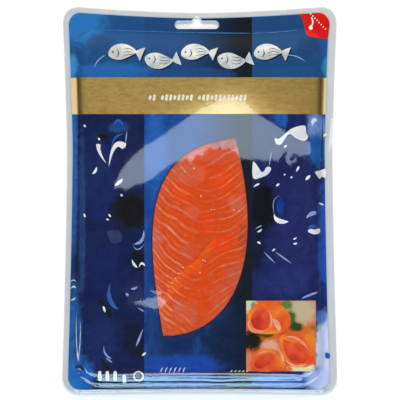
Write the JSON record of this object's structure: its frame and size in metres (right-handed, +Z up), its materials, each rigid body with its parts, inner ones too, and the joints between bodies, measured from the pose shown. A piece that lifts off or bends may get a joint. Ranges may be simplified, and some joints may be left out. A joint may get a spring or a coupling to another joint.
{
  "type": "pack of smoked salmon",
  "caption": "Flat vacuum pack of sliced smoked salmon: printed card with a leaf shaped window under clear film, waisted sides, hang slot at the top.",
  "frame": {"origin": "centre of the flat underside, midway between the pack's ends and sides", "axes": "+Z up out of the printed face, +Y towards the hang slot, +X to the right of the printed face; the pack lies on its back"},
  "size_m": [0.1968, 0.2765, 0.008],
  "materials": {
    "lower_film": "milky clear film, smooth",
    "printed_card": "glossy print",
    "clear_film": "clear and glossy, lightly wrinkled",
    "salmon": "moist cut fish"
  },
  "bodies": {
    "root": {"lower_film": "lower_film", "printed_card": "printed_card", "clear_film": "clear_film", "upper_slice": "salmon", "lower_slice": "salmon"}
  },
  "joints": []
}
